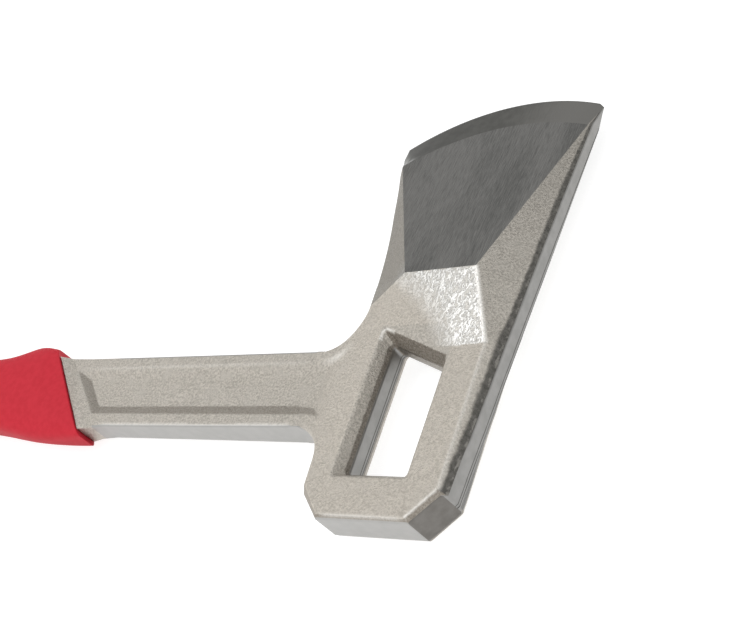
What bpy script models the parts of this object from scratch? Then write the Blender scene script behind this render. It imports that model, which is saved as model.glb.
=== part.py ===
"""Fire axe: one-piece forged head, neck and tang, with a riveted and sleeved grip.

The axe lies on its side.  +X runs along the handle towards the head, +Y from the
hammer poll to the cutting edge, +Z is the normal of the upper cheek.  The origin
is the centre of the bounding box, at its lowest level.
"""

import math

import bmesh
import bpy
from mathutils import Vector
from mathutils.geometry import delaunay_2d_cdt

MM = 0.001
GAP = 0.3                    # clearance between pieces that touch, mm

# ---------------------------------------------------------------- driving sizes, mm
# Design coordinates: x from the back of the head, y from the poll face, z from mid-plane.
POLL_HALF = 10.0             # half thickness of the cheeks around the window
SHOULDER_HALF = 12.4         # half thickness at the shoulder, the thickest place
BAND_HALF = 3.5              # half width of the trimmed band round the outline
EDGE_HALF = 0.15             # half width of the ground cutting edge
POLL_FLAT_HALF = 7.0         # half width of the ground striking face

TOE = (12.3, 195.0)          # front end of the cutting edge
HEEL = (-85.0, 184.3)        # rear end of the cutting edge
HEEL_NOSE = (-85.7, 178.8)
HEEL_ARC_RADIUS = 195.0
HEEL_STRAIGHT_X = -84.2
EDGE_CENTRE = (-23.0, 92.2)  # centre of the cutting edge's arc
EDGE_RADIUS = 110.0
EDGE_STEPS = 36

BEVEL_TOE = (8.9, 184.8, 2.5)         # ground bevel's corners
BEVEL_HEEL = (-81.7, 172.4, 4.1)
SHOULDER_TOE = (-15.8, 111.3, 12.2)
SHOULDER_HEEL = (-50.9, 109.6, SHOULDER_HALF)
SHOULDER_CREASE = ((-36.0, 99.3, 11.85), (-26.8, 90.5, 11.3), (-20.2, 81.5, 10.7),
                   (-16.8, 75.4, 10.1))         # line between the shoulder's two slopes
BEVEL_ARC_RISE = 10.3                 # height of the edge bevel's line above its chord

CHEEK_BACK = -1.1            # x of the cheek's edge on the back of the head
CHEEK_TOP = 76.6             # y where the cheek meets the shoulder at the back
POLL_EDGE = 1.0              # y of the cheek's edge at the poll
POLL_CORNERS = (-55.1, -11.9)
CHAMFER_Y = 13.4
CHEEK_LEFT = -66.0

WINDOW = ((-53.9, 17.5), (-17.0, 17.5), (-17.0, 71.2), (-53.9, 85.0))
WINDOW_CORNERS = (1.6, 2.2, 3.4, 3.0)
WINDOW_DRAFT = 3.7
WINDOW_LOW_CORNERS = (0.8, 1.0, 1.8, 1.6)
WINDOW_CREASE = (-18.6, 71.8)         # where the shoulder's foot reaches the window

NECK_LOW = 40.3
NECK_HIGH = 76.1
NECK_ROOT_X = -86.0          # where the neck's taper starts
NECK_ROOT_HALF = 6.9
NECK_END_HALF = 5.4          # half thickness at the neck's thin end
COLLAR_HALF = 6.7            # half thickness where it flares out at the collar
LOW_FILLET = (-83.5, 23.3, 17.0)      # centre x, centre y, radius
TOP_FILLET = (-84.9, 96.1, 20.0)

COLLAR_TOP = (-251.1, 77.3)  # ends of the slanted shoulder where the grip starts
COLLAR_LOW = (-217.4, 38.4)
COLLAR_SLOPE = (COLLAR_LOW[0] - COLLAR_TOP[0]) / (COLLAR_LOW[1] - COLLAR_TOP[1])
NECK_TOP_LINE = ((-150.0, NECK_HIGH), (-228.0, NECK_HIGH), (-241.0, 76.4))
NECK_LOW_LINE = ((-211.0, 39.4), (-202.0, NECK_LOW), (-150.0, NECK_LOW))
HEEL_DRAFT = 6.4             # how far the band stands out from the cheek on the heel side
POLL_DRAFT = 4.4             # the same on the handle side of the poll

# recess in the neck, from its upper end at the head round the collar to its lower end
RECESS_DEPTH = 2.0
RECESS_OUTER = ((-80.6, 72.5), (-91.0, 70.5), (-235.0, 70.2), (-212.2, 46.8),
                (-86.0, 46.2), (-79.0, 45.3))
RECESS_INNER = ((-78.6, 68.0), (-90.0, 66.1), (-225.5, 66.0), (-211.9, 51.2),
                (-88.5, 51.1), (-79.5, 49.7))
RECESS_RUNOUT = ((-69.3, 43.2), (-69.6, 74.3))

TANG_HALF_HEIGHT = 13.0
TANG_HALF = 3.5
TANG_END = -398.0
TANG_SINK = 8.0              # how far the tang reaches into the neck
TANG_POWER = 9.0             # superellipse power of the opening round the tang
GRIP_MID_Y = 58.9
SCALE_START = -243.0
SCALE_END = -400.0
SLEEVE_END = -400.0
BUTT_END = -410.0
SLEEVE_WALL = 2.8
COLLAR_EDGE_ROUND = 0.6
CAP_ROUND = ((6.0, 0.4), (8.6, 1.6), (9.6, 3.2), (10.0, 5.4))   # distance back, shrink

# grip section along the handle: x, slant, centre y, half height, half thickness, superellipse power
GRIP_STATIONS = (
    (-236.2, 1.00, GRIP_MID_Y, 23.4, 7.5, 5.5),
    (-256.0, 0.72, 59.5, 25.0, 9.3, 2.5),
    (-272.0, 0.38, 59.2, 22.4, 10.1, 2.8),
    (-288.0, 0.12, 58.9, 19.4, 10.7, 3.0),
    (-304.0, 0.00, 58.9, 17.9, 11.3, 3.0),
    (-330.0, 0.00, 58.9, 17.6, 11.8, 3.0),
    (-356.0, 0.00, 58.7, 18.6, 12.1, 3.0),
    (-374.0, 0.00, 58.0, 20.6, 12.3, 3.0),
    (-388.0, 0.00, 57.2, 22.6, 12.4, 3.0),
    (-400.0, 0.00, 56.8, 23.4, 12.4, 3.0),
)
RING = 36                    # points round each grip section

RIVET_X = (-282.0, -316.0, -350.0)
RIVET_RADIUS = 2.5
RIVET_HEAD_RADIUS = 4.4
RIVET_HEAD = 1.4
RIVET_TOP = 6.8              # half length of a rivet
BUSH_X = -372.0
BUSH_Y = 57.9
BUSH_RADIUS = 5.6
BUSH_BORE = 4.2
SCREW_RADIUS = 2.0
SCREW_HEAD_RADIUS = 3.7
SCREW_DEPTH = 16.0
SCREW_SINK = 4.4             # depth of the screw's seat in the cap
ROUND = 28                   # sides of round pieces

# ---------------------------------------------------------------- frame
FRAME_SHIFT = Vector((-(TOE[0] + BUTT_END) / 2,
                      -(EDGE_CENTRE[1] + EDGE_RADIUS) / 2,
                      SHOULDER_HALF))


def frame_point(x, y, z):
    """Design coordinates in millimetres to frame coordinates in metres."""
    return (Vector((x, y, z)) + FRAME_SHIFT) * MM


# ---------------------------------------------------------------- scene and materials
def clear_scene():
    for old in list(bpy.data.objects):
        bpy.data.objects.remove(old)


def material(name, color, roughness, metallic):
    made = bpy.data.materials.new(name)
    made.use_nodes = True
    shader = made.node_tree.nodes["Principled BSDF"]
    shader.inputs["Base Color"].default_value = (*color, 1.0)
    shader.inputs["Roughness"].default_value = roughness
    shader.inputs["Metallic"].default_value = metallic
    return made


def add_object(name, bm, mat, smooth_angle=35.0):
    """Closes a bmesh into an object with outward normals."""
    bmesh.ops.recalc_face_normals(bm, faces=bm.faces)
    mesh = bpy.data.meshes.new(name)
    bm.to_mesh(mesh)
    bm.free()
    mesh.shade_smooth()
    mesh.set_sharp_from_angle(angle=math.radians(smooth_angle))
    mesh.materials.append(mat)
    made = bpy.data.objects.new(name, mesh)
    bpy.context.collection.objects.link(made)
    return made


def cut(target, cutter):
    """Cuts the cutter out of the target, and keeps the cutter as a hidden guide."""
    cutter.hide_render = True
    cutter.display_type = "WIRE"
    modifier = target.modifiers.new("cut_" + cutter.name, "BOOLEAN")
    modifier.operation = "DIFFERENCE"
    modifier.solver = "EXACT"
    modifier.object = cutter


# ---------------------------------------------------------------- 2-D helpers
def line_points(start, end, steps):
    """Points after start, up to and including end."""
    points = []
    for i in range(1, steps + 1):
        t = i / steps
        points.append(tuple(a + (b - a) * t for a, b in zip(start, end)))
    return points


def arc_points(centre, radius, start_deg, end_deg, steps):
    points = []
    for i in range(steps + 1):
        angle = math.radians(start_deg + (end_deg - start_deg) * i / steps)
        points.append((centre[0] + radius * math.cos(angle), centre[1] + radius * math.sin(angle)))
    return points


def rounded_polygon(corners, radii, steps=6):
    """Anticlockwise polygon whose corners are arcs."""
    points = []
    count = len(corners)
    for i, (corner, radius) in enumerate(zip(corners, radii)):
        here = Vector(corner)
        before = (Vector(corners[i - 1]) - here).normalized()
        after = (Vector(corners[(i + 1) % count]) - here).normalized()
        half = before.angle(after) / 2
        centre = here + (before + after).normalized() * (radius / math.sin(half))
        start = here + before * (radius / math.tan(half)) - centre
        end = here + after * (radius / math.tan(half)) - centre
        turn = start.angle_signed(end)
        for k in range(steps + 1):
            angle = -turn * k / steps
            spun = Vector((start.x * math.cos(angle) - start.y * math.sin(angle),
                           start.x * math.sin(angle) + start.y * math.cos(angle)))
            points.append(tuple(centre + spun))
    return points


def inset_polygon(corners, distance):
    """Moves each side of an anticlockwise polygon inwards by the same distance."""
    moved = []
    count = len(corners)
    for i, corner in enumerate(corners):
        here = Vector(corner)
        into = (here - Vector(corners[i - 1])).normalized()
        out = (Vector(corners[(i + 1) % count]) - here).normalized()
        normal = Vector((-into.y, into.x))
        bisector = (normal + Vector((-out.y, out.x))).normalized()
        moved.append(tuple(here + bisector * (distance / bisector.dot(normal))))
    return moved


def inside(point, polygon):
    """True if the point is inside the polygon."""
    hits = 0
    for i, (x1, y1) in enumerate(polygon):
        x0, y0 = polygon[i - 1]
        if (y0 > point[1]) != (y1 > point[1]):
            if point[0] < x0 + (point[1] - y0) * (x1 - x0) / (y1 - y0):
                hits += 1
    return hits % 2 == 1


# ---------------------------------------------------------------- the forging's outline
def back_x(y):
    """Back of the head: a nearly straight band that leans out towards the toe."""
    return 0.5 + 0.048 * y + 0.00006 * y * y


def heel_x(y):
    """Heel side of the blade: an arc that sweeps out to the heel, and straightens there."""
    rise = max(y - 100.0, 0.0)
    return max(-71.4 - rise * rise / (2 * HEEL_ARC_RADIUS), HEEL_STRAIGHT_X)


def band_half(y):
    """Half width of the trimmed band beside the blade."""
    if y < 120.0:
        return BAND_HALF
    return BAND_HALF - (BAND_HALF - 2.5) * (y - 120.0) / 65.0


def neck_half(x):
    """Half thickness of the neck's faces, which taper towards the grip."""
    t = (NECK_ROOT_X - x) / (NECK_ROOT_X - COLLAR_TOP[0])
    return NECK_ROOT_HALF + (NECK_END_HALF - NECK_ROOT_HALF) * min(max(t, 0.0), 1.0)


def face_half(x):
    """Half thickness on the run from the neck up to the cheeks."""
    if x <= NECK_ROOT_X:
        return neck_half(x)
    t = min((x - NECK_ROOT_X) / (CHEEK_LEFT - NECK_ROOT_X), 1.0)
    return NECK_ROOT_HALF + (POLL_HALF - NECK_ROOT_HALF) * t


def recess_depth(x):
    """Depth of the neck's recess, which runs out where the cheek starts."""
    run_out = RECESS_RUNOUT[1][0]
    return RECESS_DEPTH * math.sqrt(min((run_out - x) / (run_out - NECK_ROOT_X), 1.0))


def outline():
    """Point pairs round the forging: the edge of the face, and the band beside it."""
    pairs = []
    marks = {}

    def add(face, band, mark=None):
        if mark:
            marks[mark] = len(pairs)
        pairs.append((face, band))

    # poll and its two chamfers
    left, right = POLL_CORNERS
    add((left, POLL_EDGE, POLL_HALF), (left - 1.6, 0.0, POLL_FLAT_HALF))
    add((right, POLL_EDGE, POLL_HALF), (right + 1.2, 0.0, POLL_FLAT_HALF))
    add((CHEEK_BACK, CHAMFER_Y, POLL_HALF), (back_x(CHAMFER_Y) - 1.0, CHAMFER_Y - 1.5, POLL_FLAT_HALF))
    add((CHEEK_BACK, CHAMFER_Y + 1.2, POLL_HALF), (back_x(CHAMFER_Y), CHAMFER_Y, BAND_HALF))
    # back of the head, up to the toe
    for y in (34.0, 55.0):
        add((CHEEK_BACK, y, POLL_HALF), (back_x(y), y, BAND_HALF))
    corner = (CHEEK_BACK, CHEEK_TOP, POLL_HALF)
    add(corner, (back_x(CHEEK_TOP), CHEEK_TOP, BAND_HALF), "cheek_corner")
    for x, y, z in line_points(corner, SHOULDER_TOE, 3):
        add((x, y, z), (back_x(y), y, BAND_HALF), "shoulder_toe")
    for x, y, z in line_points(SHOULDER_TOE, BEVEL_TOE, 5):
        add((x, y, z), (back_x(y), y, band_half(y)), "bevel_toe")
    # cutting edge, toe to heel
    for x, y in cutting_edge() + [HEEL_NOSE]:
        add((x, y, EDGE_HALF), (x, y, EDGE_HALF))
    # heel side of the blade
    add(BEVEL_HEEL, (heel_x(BEVEL_HEEL[1]), BEVEL_HEEL[1] + 1.0, EDGE_HALF + 1.0), "bevel_heel")
    for x, y, z in line_points(BEVEL_HEEL, SHOULDER_HEEL, 14):
        half = min(BAND_HALF, 1.0 + (BEVEL_HEEL[1] - y) * 0.1)
        add((x, y, z), (heel_x(y), y, half), "shoulder_heel")
    # from the shoulder round the upper fillet to the neck
    for x, y in arc_points(TOP_FILLET[:2], TOP_FILLET[2], 0.0, -90.0, 18):
        reach = (x - TOP_FILLET[0]) / TOP_FILLET[2]
        lift = HEEL_DRAFT * reach
        add((x, y, face_half(x)), (x - lift, y + lift * (1 - reach) / 2, BAND_HALF))
        marks.setdefault("fillet_top", len(pairs) - 1)
    for x, y in NECK_TOP_LINE:
        add((x, y, neck_half(x)), (x, y, BAND_HALF))
    for x, y in (COLLAR_TOP, COLLAR_LOW):
        add((x, y, COLLAR_HALF), (x, y, BAND_HALF))
    # underside of the neck, lower fillet and the handle side of the poll
    for x, y in NECK_LOW_LINE:
        add((x, y, neck_half(x)), (x, y, BAND_HALF))
    for x, y in arc_points(LOW_FILLET[:2], LOW_FILLET[2], 90.0, 0.0, 14):
        reach = (x - LOW_FILLET[0]) / LOW_FILLET[2]
        lift = POLL_DRAFT * reach
        add((x, y, face_half(x)), (x - lift, y - lift * (1 - reach) / 2, BAND_HALF))
    add((CHEEK_LEFT, CHAMFER_Y, POLL_HALF), (CHEEK_LEFT - POLL_DRAFT, CHAMFER_Y - 1.4, BAND_HALF))
    return pairs, marks


def cutting_edge():
    """Arc of the cutting edge, toe to heel, with a point on its crown and a flatter rear end."""
    first = math.degrees(math.atan2(TOE[1] - EDGE_CENTRE[1], TOE[0] - EDGE_CENTRE[0]))
    last = math.degrees(math.atan2(HEEL[1] - EDGE_CENTRE[1], HEEL[0] - EDGE_CENTRE[0]))
    front = arc_points(EDGE_CENTRE, EDGE_RADIUS, first, 90.0, EDGE_STEPS // 3)
    rear = arc_points(EDGE_CENTRE, EDGE_RADIUS, 90.0, last, EDGE_STEPS - EDGE_STEPS // 3)
    overhang = (Vector(HEEL) - Vector(EDGE_CENTRE)).length / EDGE_RADIUS - 1.0
    for i, point in enumerate(rear):
        out = Vector(point) - Vector(EDGE_CENTRE)
        rear[i] = tuple(Vector(point) + out * overhang * (i / (len(rear) - 1)) ** 2)
    return [TOE] + front[1:] + rear[1:]


def bevel_line():
    """Line where the ground bevel meets the edge bevel, toe to heel, without its ends."""
    start = Vector(BEVEL_TOE)
    end = Vector(BEVEL_HEEL)
    normal = (end - start).cross(Vector(SHOULDER_TOE) - start).normalized()
    chord = (end - start).xy
    side = Vector((chord.y, -chord.x)).normalized()
    points = []
    for x, y in (start.xy + chord * t / 10 + side * BEVEL_ARC_RISE * 4 * t * (10 - t) / 100
                 for t in range(1, 10)):
        z = start.z - (normal.x * (x - start.x) + normal.y * (y - start.y)) / normal.z
        points.append((x, y, z))
    return points


# ---------------------------------------------------------------- the forging
def chain(ids, closed=False):
    """Edges that join the ids in order."""
    return [(ids[i - 1], ids[i]) for i in range(0 if closed else 1, len(ids))]


def nearest(loop, corner):
    return min(range(len(loop)), key=lambda i: (Vector(loop[i]) - Vector(corner)).length)


def forging_bmesh():
    """Upper half from its crease lines, then its mirror image and the walls between."""
    pairs, marks = outline()
    window = rounded_polygon(WINDOW, WINDOW_CORNERS)
    window_low = rounded_polygon(inset_polygon(WINDOW, WINDOW_DRAFT), WINDOW_LOW_CORNERS)
    points = []

    def store(point):
        points.append(point)
        return len(points) - 1

    face = [store(pair[0]) for pair in pairs]
    band = [i if pair[0] == pair[1] else store(pair[1]) for i, pair in zip(face, pairs)]
    hole = [store((x, y, POLL_HALF)) for x, y in window]
    hole_low = [store((x, y, BAND_HALF)) for x, y in window_low]
    outer = [store((x, y, face_half(x))) for x, y in RECESS_OUTER]
    inner = [store((x, y, face_half(x) - recess_depth(x))) for x, y in RECESS_INNER]
    runout = [store((x, y, face_half(x))) for x, y in RECESS_RUNOUT]
    bevel = [store(point) for point in bevel_line()]
    slope = [store(point) for point in SHOULDER_CREASE]

    mark = {name: face[i] for name, i in marks.items()}
    window_left = hole[nearest(window, WINDOW[3])]
    window_right = hole[nearest(window, WINDOW_CREASE)]
    creases = chain(face, closed=True) + chain(hole, closed=True)
    creases += [(mark["shoulder_toe"], mark["shoulder_heel"]), (mark["cheek_corner"], slope[-1]),
                (window_left, mark["fillet_top"])]
    creases += chain([mark["shoulder_heel"]] + slope + [window_right])
    creases += chain([mark["bevel_toe"]] + bevel + [mark["bevel_heel"]])
    creases += chain([runout[1]] + outer + [runout[0]], closed=True)
    creases += chain([runout[1]] + inner + [runout[0]])
    creases += [(inner[0], inner[5]), (inner[1], inner[4])] + list(zip(outer, inner))

    flat_ids = face + hole + outer + inner + runout + bevel + slope
    place = {point_id: k for k, point_id in enumerate(flat_ids)}
    flat = [Vector(points[i][:2]) for i in flat_ids]
    cells = delaunay_2d_cdt(flat, [(place[a], place[b]) for a, b in creases], [], 0, 1e-6)
    face_outline = [points[i][:2] for i in face]

    bm = bmesh.new()
    upper = [bm.verts.new(frame_point(*point)) for point in points]
    lower = [bm.verts.new(frame_point(x, y, -z)) for x, y, z in points]

    def both_sides(ids):
        bm.faces.new([upper[i] for i in ids])
        bm.faces.new([lower[i] for i in reversed(ids)])

    def wall(a, b):
        bm.faces.new([upper[a], lower[a], lower[b], upper[b]])

    for triangle in cells[2]:
        middle = sum((cells[0][i] for i in triangle), Vector((0, 0))) / 3
        if inside(middle, face_outline) and not inside(middle, window):
            both_sides([flat_ids[cells[3][i][0]] for i in triangle])
    for i in range(len(face)):
        ring = list(dict.fromkeys([face[i - 1], band[i - 1], band[i], face[i]]))
        if len(ring) > 2:
            both_sides(ring)
        wall(band[i - 1], band[i])
    for i in range(len(hole)):
        both_sides([hole[i - 1], hole[i], hole_low[i], hole_low[i - 1]])
        wall(hole_low[i - 1], hole_low[i])
    bmesh.ops.triangulate(bm, faces=[f for f in bm.faces if len(f.verts) > 3])
    return bm


def tang_bmesh():
    """Flat bar that runs from inside the neck to the butt."""
    bm = bmesh.new()
    low = GRIP_MID_Y - TANG_HALF_HEIGHT
    high = GRIP_MID_Y + TANG_HALF_HEIGHT
    reach = TANG_SINK
    corners = ((TANG_END, low), (collar_x(low) + reach, low), (collar_x(high) + reach, high),
               (TANG_END, high))
    base = bm.faces.new([bm.verts.new(frame_point(x, y, -TANG_HALF)) for x, y in corners])
    top = bmesh.ops.extrude_face_region(bm, geom=[base])
    for vert in [v for v in top["geom"] if isinstance(v, bmesh.types.BMVert)]:
        vert.co.z += 2 * TANG_HALF * MM
    return bm


def collar_x(y):
    """x of the slanted collar line at height y."""
    return COLLAR_TOP[0] + (y - COLLAR_TOP[1]) * COLLAR_SLOPE


# ---------------------------------------------------------------- turned pieces
def turned_bmesh(profile, x, y, z=0.0, axis="Z"):
    """Solid of revolution from (radius, position) pairs; a first radius over 0 leaves a bore."""
    bm = bmesh.new()
    rings = []
    for radius, along in profile:
        ring = []
        for k in range(ROUND):
            angle = 2 * math.pi * k / ROUND
            u = radius * math.cos(angle)
            v = radius * math.sin(angle)
            offset = (u, v, along) if axis == "Z" else (along, u, v)
            ring.append(bm.verts.new(frame_point(x + offset[0], y + offset[1], z + offset[2])))
            if radius == 0.0:
                break
        rings.append(ring)
    bored = profile[0][0] > 0.0
    for i in range(0 if bored else 1, len(rings)):
        first, second = rings[i - 1], rings[i]
        for k in range(ROUND):
            quad = [first[k - 1 if len(first) > 1 else 0], first[k if len(first) > 1 else 0],
                    second[k if len(second) > 1 else 0], second[k - 1 if len(second) > 1 else 0]]
            bm.faces.new(list(dict.fromkeys(quad)))
    return bm


def cylinder_cutter(name, radius, x, y, low, high, z=0.0, axis="Z"):
    profile = ((0.0, low), (radius, low), (radius, high), (0.0, high))
    return add_object(name, turned_bmesh(profile, x, y, z, axis), GUIDE)


# ---------------------------------------------------------------- grip sections
def oval_point(x, slant, mid_y, half_height, half_thickness, power, angle):
    """Point of a superellipse across the handle; slant tilts it to the collar's line."""
    c, s = math.cos(angle), math.sin(angle)
    y = half_height * math.copysign(abs(c) ** (2 / power), c)
    z = half_thickness * math.copysign(abs(s) ** (2 / power), s)
    return (x + slant * COLLAR_SLOPE * y, mid_y + y, z)


def section(x, slant, mid_y, half_height, half_thickness, power):
    return [oval_point(x, slant, mid_y, half_height, half_thickness, power, 2 * math.pi * k / RING)
            for k in range(RING)]


def grip_station(x):
    """Slant, centre, half sizes and power of the grip's section at x."""
    for first, second in zip(GRIP_STATIONS, GRIP_STATIONS[1:]):
        if x >= second[0]:
            t = min(max((x - first[0]) / (second[0] - first[0]), 0.0), 1.0)
            return [a + (b - a) * t for a, b in zip(first[1:], second[1:])]
    return list(GRIP_STATIONS[-1][1:])


def core_sizes(x, wall):
    """Section inside the sleeve's wall, and the position of the ring along the handle."""
    slant, mid_y, half_height, half_thickness, power = grip_station(x)
    return x, slant, mid_y, half_height - wall, half_thickness - wall, power


def loft(bm, rings, closed_ends=True):
    """Skins rings of equal count, and caps or joins the ends."""
    verts = [[bm.verts.new(frame_point(*point)) for point in ring] for ring in rings]
    pairs = list(zip(verts, verts[1:]))
    if closed_ends:
        bm.faces.new(verts[0])
        bm.faces.new(verts[-1])
    else:
        pairs.append((verts[-1], verts[0]))
    for first, second in pairs:
        for k in range(len(first)):
            bm.faces.new([first[k - 1], first[k], second[k], second[k - 1]])


def stations_between(front, rear):
    """x of the grip's stations strictly between two places, front first."""
    return [station[0] for station in GRIP_STATIONS if rear < station[0] < front]


def make_sleeve():
    bm = bmesh.new()
    x, slant, mid_y, half_height, half_thickness, power = GRIP_STATIONS[0]
    lead = COLLAR_EDGE_ROUND
    rings = [section(x + lead, slant, mid_y, half_height - lead, half_thickness - lead, power)]
    rings += [section(*station) for station in GRIP_STATIONS]
    inner = [GRIP_STATIONS[-1][0]] + stations_between(SCALE_START, SLEEVE_END)[::-1] + [SCALE_START]
    rings += [section(*core_sizes(place, SLEEVE_WALL - GAP)) for place in inner]
    opening = (GRIP_MID_Y, TANG_HALF_HEIGHT + 2 * GAP, TANG_HALF + 2 * GAP, TANG_POWER)
    rings.append(section(SCALE_START, grip_station(SCALE_START)[0], *opening))
    rings.append(section(x + lead, 1.0, *opening))
    loft(bm, rings, closed_ends=False)
    return add_object("grip_sleeve", bm, RED)


def make_scale(name, side):
    """One stiff scale: the part of the core on one side of the tang."""
    bm = bmesh.new()
    start = SCALE_START - GAP
    inner = TANG_HALF + GAP
    rings = []
    for x in [start] + stations_between(start, SCALE_END) + [SCALE_END]:
        sizes = core_sizes(x, SLEEVE_WALL)
        first = math.asin((inner / sizes[4]) ** (sizes[5] / 2))
        turn = math.pi - 2 * first
        rings.append([oval_point(*sizes, side * (first + turn * k / (RING // 2)))
                      for k in range(RING // 2 + 1)])
    loft(bm, rings)
    return add_object(name, bm, BLACK)


def make_butt_cap():
    bm = bmesh.new()
    _, mid_y, half_height, half_thickness, power = grip_station(SLEEVE_END)
    rings = [section(SLEEVE_END - GAP, 0.0, mid_y, half_height, half_thickness, power)]
    for back, shrink in CAP_ROUND:
        rings.append(section(SLEEVE_END - back, 0.0, mid_y, half_height - shrink, half_thickness - shrink,
                             power))
    loft(bm, rings)
    return add_object("butt_cap", bm, BLACK)


# ---------------------------------------------------------------- assembly
def make_forging():
    forging = add_object("axe_forging", forging_bmesh(), STEEL, smooth_angle=8.0)
    tang = add_object("tang_body", tang_bmesh(), GUIDE)
    tang.hide_render = True
    tang.display_type = "WIRE"
    union = forging.modifiers.new("tang", "BOOLEAN")
    union.operation = "UNION"
    union.solver = "EXACT"
    union.object = tang
    return forging


def make_rivet(name, x):
    tall = RIVET_TOP
    head = tall - RIVET_HEAD
    profile = ((0.0, -tall), (RIVET_HEAD_RADIUS, -tall), (RIVET_HEAD_RADIUS, -head), (RIVET_RADIUS, -head),
               (RIVET_RADIUS, head), (RIVET_HEAD_RADIUS, head), (RIVET_HEAD_RADIUS, tall), (0.0, tall))
    return add_object(name, turned_bmesh(profile, x, GRIP_MID_Y), METAL)


def make_bush():
    tall = grip_station(BUSH_X)[3] - 0.2
    inner, outer, lead = BUSH_BORE, BUSH_RADIUS, 0.6
    profile = ((inner, -tall + lead), (inner + lead, -tall), (outer, -tall), (outer, tall),
               (inner + lead, tall), (inner, tall - lead))
    return add_object("lanyard_bush", turned_bmesh(profile, BUSH_X, BUSH_Y), METAL)


def make_butt_fastener():
    seat = BUTT_END + SCREW_SINK
    washer = ((SCREW_RADIUS + GAP, GAP), (SCREW_HEAD_RADIUS + 0.6, GAP), (SCREW_HEAD_RADIUS + 0.6, 1.1),
              (SCREW_RADIUS + GAP, 1.1))
    washer = [(radius, along - 1.4) for radius, along in washer]
    add_object("butt_washer", turned_bmesh(washer, seat, GRIP_MID_Y, axis="X"), METAL)
    shank = TANG_END + SCREW_DEPTH - 1.0 - seat
    head = -1.4
    screw = ((0.0, shank), (SCREW_RADIUS, shank), (SCREW_RADIUS, head), (SCREW_HEAD_RADIUS, head),
             (SCREW_HEAD_RADIUS, head - 2.2), (1.6, head - 2.2), (1.4, head - 1.0), (0.0, head - 1.0))
    add_object("butt_screw", turned_bmesh(screw, seat, GRIP_MID_Y, axis="X"), METAL)


def rivet_cutter(name, x):
    """Hole for a rivet, with a wider seat for each head."""
    seat = RIVET_TOP - RIVET_HEAD - GAP
    reach = 2 * SHOULDER_HALF
    wide = RIVET_HEAD_RADIUS + GAP
    narrow = RIVET_RADIUS + GAP
    profile = ((0.0, -reach), (wide, -reach), (wide, -seat), (narrow, -seat),
               (narrow, seat), (wide, seat), (wide, reach), (0.0, reach))
    return add_object(name, turned_bmesh(profile, x, GRIP_MID_Y), GUIDE)


def drill(targets):
    """Holes through the tang, the scales and the sleeve for the rivets, bush and screw."""
    tang_layers = ("axe_forging", "grip_scale_top", "grip_scale_bottom")
    for i, x in enumerate(RIVET_X):
        cutter = rivet_cutter(f"rivet_hole_{i}", x)
        for name in tang_layers:
            cut(targets[name], cutter)
    reach = 2 * SHOULDER_HALF
    lanyard = cylinder_cutter("lanyard_hole", BUSH_RADIUS + GAP, BUSH_X, BUSH_Y, -reach, reach)
    for name in tang_layers + ("grip_sleeve",):
        cut(targets[name], lanyard)
    screw_hole = cylinder_cutter("screw_hole", SCREW_RADIUS + GAP, TANG_END, GRIP_MID_Y, -30.0,
                                 SCREW_DEPTH, axis="X")
    cut(targets["axe_forging"], screw_hole)
    cut(targets["butt_cap"], screw_hole)
    seat = BUTT_END + SCREW_SINK
    cut(targets["butt_cap"], cylinder_cutter("screw_seat", SCREW_HEAD_RADIUS + 0.6 + GAP, seat, GRIP_MID_Y,
                                             -30.0, 0.0, axis="X"))


def main():
    pieces = [make_forging(), make_sleeve(), make_scale("grip_scale_top", 1),
              make_scale("grip_scale_bottom", -1), make_butt_cap()]
    drill({piece.name: piece for piece in pieces})
    for name, x in zip(("tang_rivet_front", "tang_rivet_middle", "tang_rivet_rear"), RIVET_X):
        make_rivet(name, x)
    make_bush()
    make_butt_fastener()


clear_scene()
STEEL = material("forged_steel", (0.52, 0.49, 0.45), 0.45, 1.0)
RED = material("red_sleeve", (0.56, 0.035, 0.055), 0.45, 0.0)
BLACK = material("black_plastic", (0.03, 0.03, 0.032), 0.5, 0.0)
METAL = material("plated_steel", (0.6, 0.6, 0.62), 0.35, 1.0)
GUIDE = material("guide", (0.8, 0.8, 0.2), 0.8, 0.0)
main()
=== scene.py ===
"""Fire axe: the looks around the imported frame.

Lengths in this file are millimetres in design coordinates unless a name says otherwise:
x from the back of the head, y from the poll face, z from the mid-plane of the forging.
"""

import math

import bpy
import numpy as np
from mathutils import Matrix, Vector, noise
from mathutils.geometry import delaunay_2d_cdt


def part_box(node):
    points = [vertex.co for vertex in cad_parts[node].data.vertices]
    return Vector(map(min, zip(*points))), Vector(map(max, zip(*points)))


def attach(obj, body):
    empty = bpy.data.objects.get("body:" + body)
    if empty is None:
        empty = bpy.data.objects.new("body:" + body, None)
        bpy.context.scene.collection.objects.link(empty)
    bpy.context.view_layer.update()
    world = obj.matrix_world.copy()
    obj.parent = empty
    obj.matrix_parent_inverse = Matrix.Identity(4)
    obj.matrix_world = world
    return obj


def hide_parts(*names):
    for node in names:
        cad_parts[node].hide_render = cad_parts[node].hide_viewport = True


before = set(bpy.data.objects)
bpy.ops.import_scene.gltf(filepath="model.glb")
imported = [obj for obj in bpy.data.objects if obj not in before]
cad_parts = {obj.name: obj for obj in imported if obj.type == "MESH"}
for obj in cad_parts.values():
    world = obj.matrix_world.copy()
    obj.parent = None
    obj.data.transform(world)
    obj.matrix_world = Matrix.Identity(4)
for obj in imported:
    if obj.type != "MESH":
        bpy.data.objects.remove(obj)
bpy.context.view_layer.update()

MM = 0.001
TOE_X = 12.3                 # highest x of the forging, at the toe of the cutting edge
LOW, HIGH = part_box("axe_forging")
SHIFT = np.array([HIGH.x / MM - TOE_X, LOW.y / MM, (LOW.z + HIGH.z) / 2 / MM])


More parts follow.
